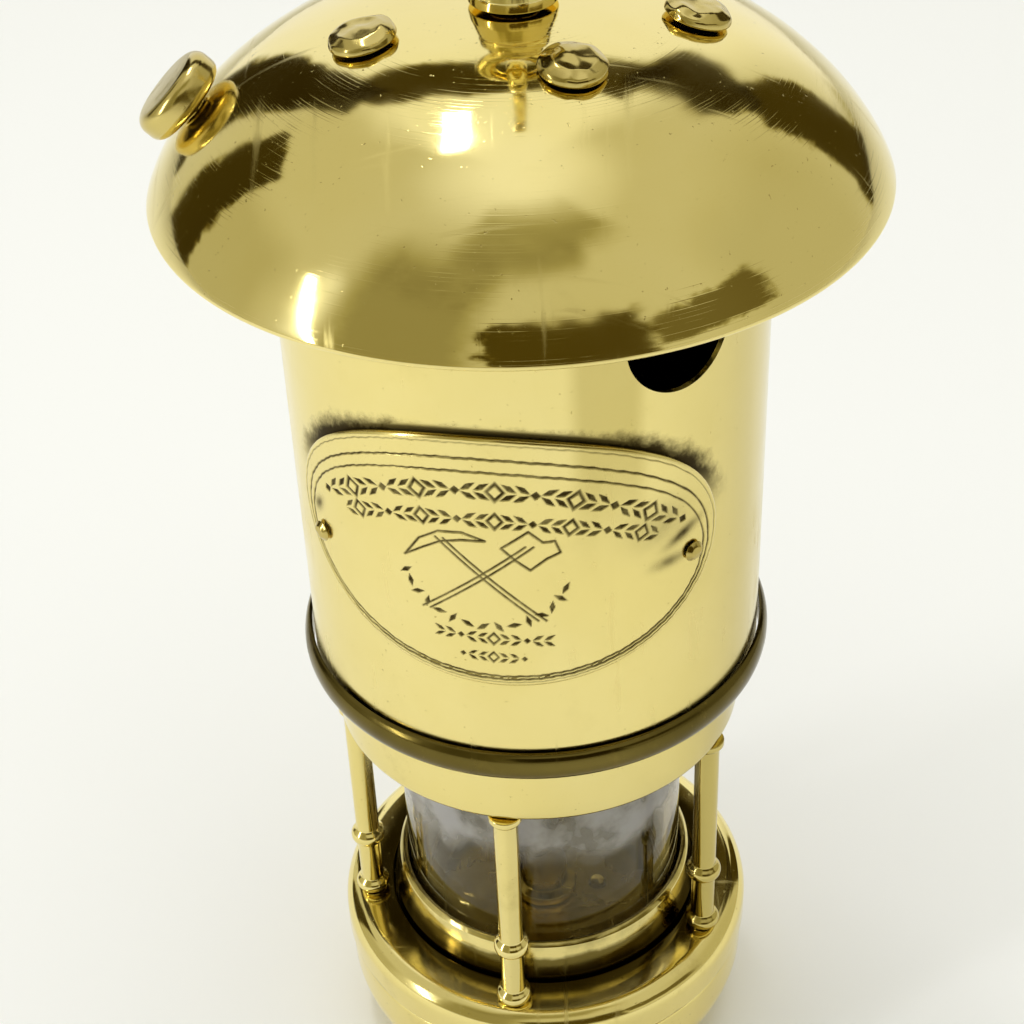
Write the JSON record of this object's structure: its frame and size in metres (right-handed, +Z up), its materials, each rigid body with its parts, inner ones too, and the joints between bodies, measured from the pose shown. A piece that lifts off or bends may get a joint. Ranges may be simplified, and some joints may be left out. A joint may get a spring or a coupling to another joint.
{
  "type": "miner's safety lamp",
  "caption": "Brass miner's flame safety lamp: domed hood over a vented bonnet, pillar cage round a glass, screw-on fuel vessel and hanging hook.",
  "frame": {"origin": "centre of the foot, on the surface the lamp stands on", "axes": "+Z up, the way the hook points; -Y the front, with the badge; +X to the right seen from the front"},
  "size_m": [0.104, 0.104, 0.2526],
  "materials": {
    "polished_brass": "polished, with hairline scratches and light pitting",
    "tarnished_brass": "darkened by heat",
    "chimney_glass": "clear",
    "iron_gauze": "woven wire, dark",
    "gasket_board": "matt fibre board",
    "cotton_wick": "plaited cotton"
  },
  "bodies": {
    "vessel": {"fuel_vessel": "polished_brass", "vessel_bottom_plate": "polished_brass", "spindle_bush": "polished_brass", "burner_plate": "polished_brass", "wick_tube": "polished_brass"},
    "filler": {"filler_plug": "polished_brass"},
    "wick_control": {"wick_knob": "polished_brass", "wick_spindle": "polished_brass"},
    "wick_unit": {"wick": "cotton_wick", "wick_carrier": "polished_brass"},
    "glass_unit": {"glass_seat_ring": "polished_brass", "lower_gasket": "gasket_board", "glass_chimney": "chimney_glass"},
    "cage": {"cage_lower_ring": "polished_brass", "cage_pillar_1": "polished_brass", "cage_pillar_2": "polished_brass", "cage_pillar_3": "polished_brass", "cage_pillar_4": "polished_brass", "cage_pillar_5": "polished_brass", "cage_top_ring": "polished_brass", "upper_gasket": "gasket_board", "gauze_ring": "polished_brass", "inner_gauze": "iron_gauze", "outer_gauze": "iron_gauze", "bonnet": "polished_brass", "bonnet_bead": "polished_brass", "bonnet_crown": "tarnished_brass", "badge": "polished_brass", "badge_rivet_left": "polished_brass", "badge_rivet_right": "polished_brass", "hood": "polished_brass", "hood_rivet_1": "polished_brass", "hood_rivet_2": "polished_brass", "hood_rivet_3": "polished_brass", "hood_rivet_4": "polished_brass", "hood_rivet_5": "polished_brass", "hood_post_1": "polished_brass", "hood_post_2": "polished_brass", "hood_post_3": "polished_brass", "hood_post_4": "polished_brass", "hood_post_5": "polished_brass", "hood_boss": "polished_brass", "boss_nut": "polished_brass"},
    "knob": {"hood_knob": "polished_brass"},
    "lock": {"lock_screw": "polished_brass"},
    "swivel": {"hook_swivel": "polished_brass"},
    "hook": {"hook": "polished_brass"}
  },
  "joints": [
    {"name": "glass_lift", "type": "slide", "parent": "vessel", "child": "glass_unit", "axis": [0, 0, 1], "range_m": [0, 0.0051]},
    {"name": "cage_turn", "type": "hinge", "parent": "glass_unit", "child": "cage", "pos_m": [0, 0, 0.0235], "axis": [0, 0, 1], "range_deg": [0, 900]},
    {"name": "wick_adjust", "type": "hinge", "parent": "vessel", "child": "wick_control", "pos_m": [0.0095, 0, 0.002], "axis": [0, 0, 1], "range_deg": [0, 1260]},
    {"name": "wick_lift", "type": "slide", "parent": "vessel", "child": "wick_unit", "axis": [0, 0, 1], "range_m": [0, 0.0071]},
    {"name": "filler_plug_turn", "type": "hinge", "parent": "vessel", "child": "filler", "pos_m": [-0.014, 0, 0.003], "axis": [0, 0, 1], "continuous": true},
    {"name": "lock_screw_turn", "type": "hinge", "parent": "cage", "child": "lock", "pos_m": [0, 0.0375, 0.0236], "axis": [0, 1, 0], "continuous": true},
    {"name": "hood_knob_turn", "type": "hinge", "parent": "cage", "child": "knob", "pos_m": [-0.0441, 0, 0.17757], "axis": [-0.7038, 0, 0.7104], "continuous": true},
    {"name": "swivel_turn", "type": "hinge", "parent": "cage", "child": "swivel", "pos_m": [0, 0, 0.2], "axis": [0, 0, 1], "continuous": true},
    {"name": "hook_swing", "type": "hinge", "parent": "swivel", "child": "hook", "pos_m": [0, 0, 0.2124], "axis": [1, 0, 0], "range_deg": [-80, 80]}
  ],
  "couplings": [
    {"joint": "glass_lift", "follows": "cage_turn", "m_per_rad": 0.00031831},
    {"joint": "wick_lift", "follows": "wick_adjust", "m_per_rad": 0.00031831}
  ]
}
